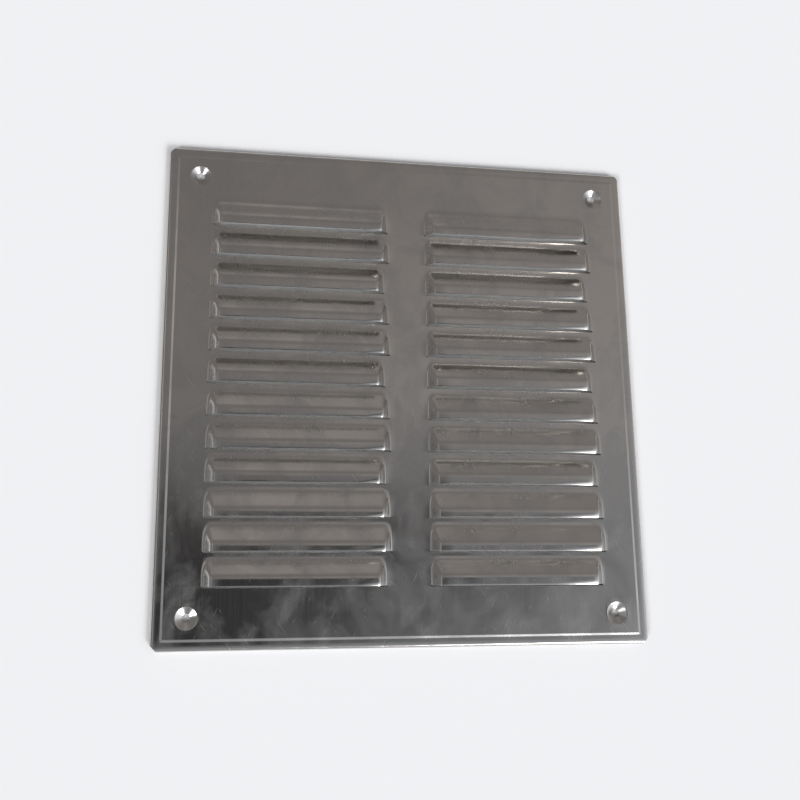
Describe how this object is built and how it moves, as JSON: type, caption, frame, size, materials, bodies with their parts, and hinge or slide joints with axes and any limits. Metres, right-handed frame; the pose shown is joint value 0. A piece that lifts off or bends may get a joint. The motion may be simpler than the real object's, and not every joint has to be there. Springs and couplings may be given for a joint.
{
  "type": "louvred air vent panel",
  "caption": "Square vent panel pressed from one bright metal sheet, with two columns of hooded louvres, folded edges and a dished fixing hole in each corner.",
  "frame": {"origin": "middle of the back plane, the plane of the four folded hems that bears on the wall", "axes": "+Z out of the face, away from the wall; +X to the right across the panel as one faces it; +Y up the panel, so the louvres open towards -Y"},
  "size_m": [0.25, 0.25, 0.0081],
  "materials": {
    "bright_sheet": "bright rolled stainless sheet, lightly scratched"
  },
  "bodies": {
    "root": {"louvre_panel": "bright_sheet"}
  },
  "joints": []
}
